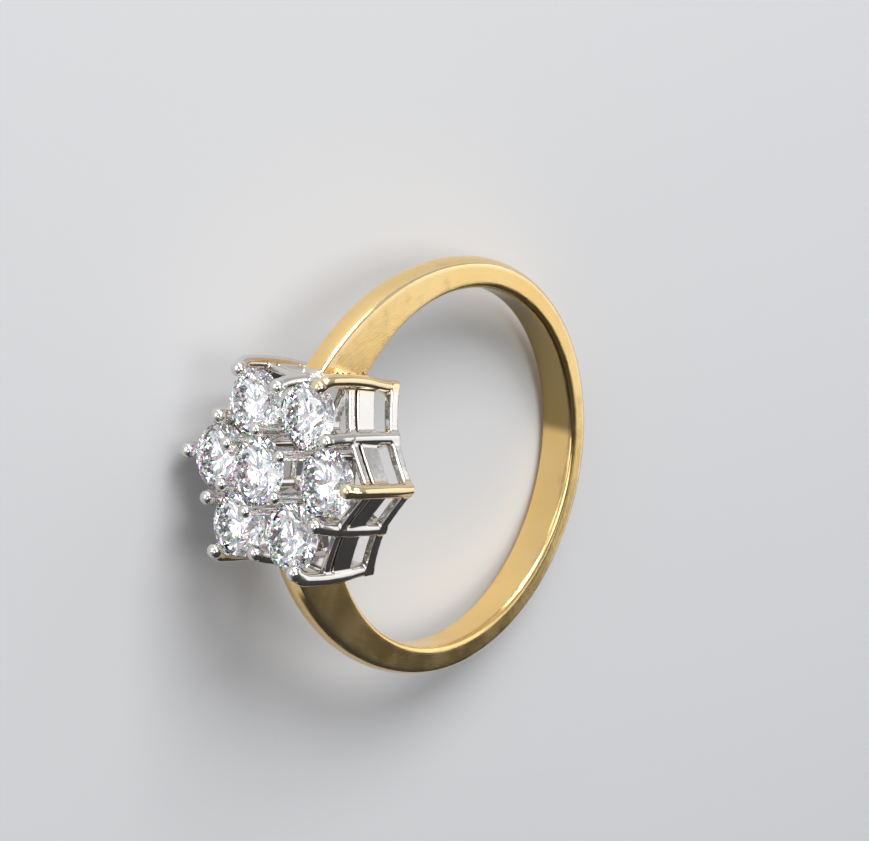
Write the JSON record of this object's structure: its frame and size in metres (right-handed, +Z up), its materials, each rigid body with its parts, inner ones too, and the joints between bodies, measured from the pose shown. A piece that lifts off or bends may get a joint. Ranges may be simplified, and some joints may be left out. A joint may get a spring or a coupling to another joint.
{
  "type": "cluster ring",
  "caption": "Finger ring whose yellow gold shank carries a white gold cluster head of round claw-set stones, the middle one raised.",
  "frame": {"origin": "middle of the bounding box on the surface that the ring lies on", "axes": "+Z up; +Y from the head towards the back of the shank, the longest way across; +X to the right of someone looking along +Y. The finger's axis leans 12.9 degrees from +Z towards +Y"},
  "size_m": [0.0198, 0.0236, 0.011],
  "materials": {
    "yellow_gold": "polished 18 carat yellow gold, worn to a soft shine, darker in the creases",
    "white_gold": "polished white gold, a little warm, with tarnish in the hollows of the gallery",
    "stone": "clear round brilliant-cut stone, sharp facets, polished"
  },
  "bodies": {
    "root": {"shank": "yellow_gold", "head": "white_gold", "stone_centre": "stone", "stone_1": "stone", "stone_2": "stone", "stone_3": "stone", "stone_4": "stone", "stone_5": "stone", "stone_6": "stone"}
  },
  "joints": []
}
